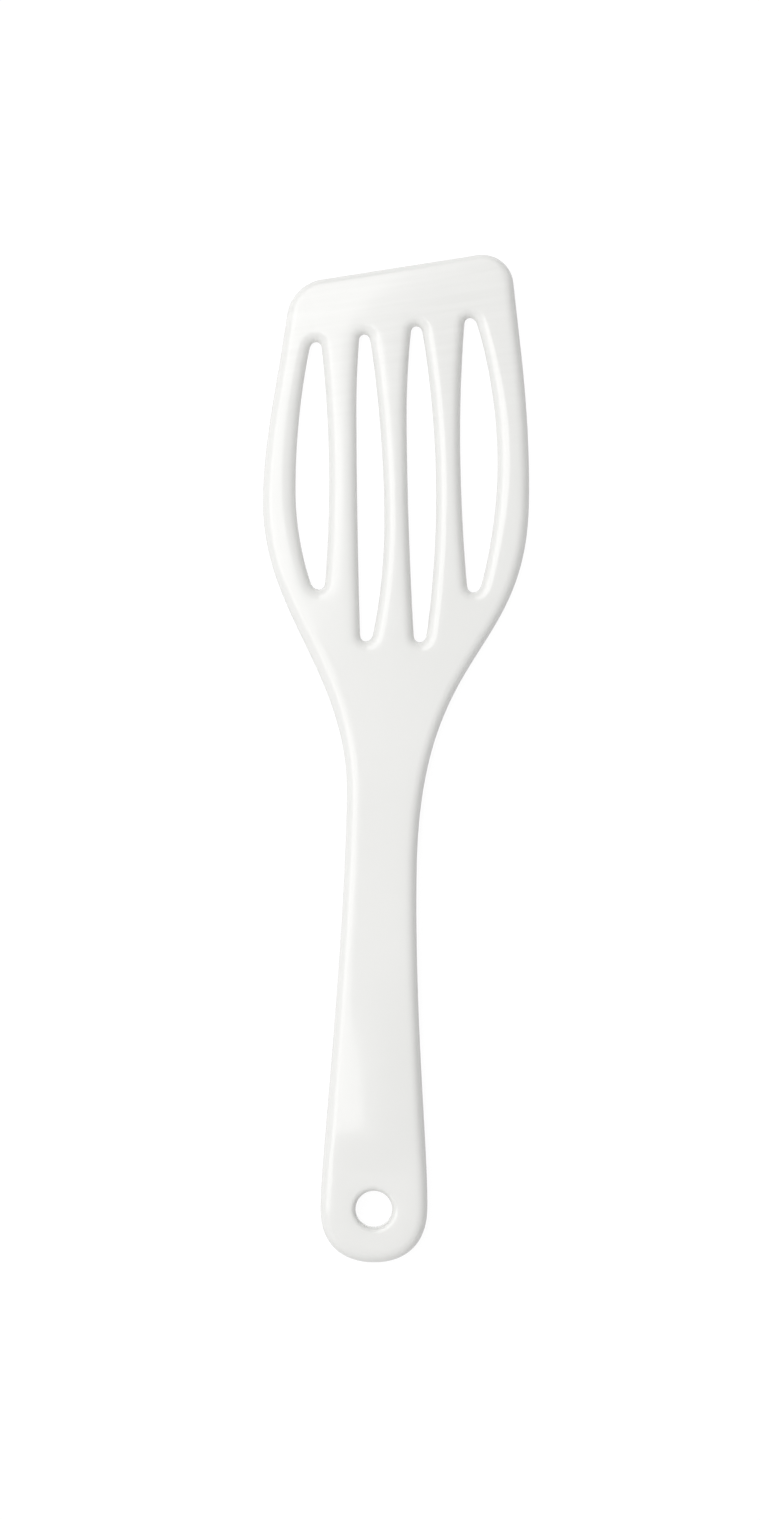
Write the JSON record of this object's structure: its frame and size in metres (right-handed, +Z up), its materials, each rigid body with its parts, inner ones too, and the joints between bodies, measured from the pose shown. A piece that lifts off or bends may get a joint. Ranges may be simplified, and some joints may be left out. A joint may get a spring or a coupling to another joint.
{
  "type": "kitchen turner",
  "caption": "Slotted kitchen turner with a flared blade, a slanted tip edge, a waisted handle and a rounded hanging hole.",
  "frame": {"origin": "under the middle of the turner's own box, on the surface that it lies on", "axes": "+Y from the hanging end to the tip, +Z up out of the face that carries the food, +X to the right seen from above with the tip pointing away"},
  "size_m": [0.0764, 0.29, 0.0081],
  "materials": {
    "melamine": "glossy white moulded melamine with a smooth skin"
  },
  "bodies": {
    "root": {"turner": "melamine"}
  },
  "joints": []
}
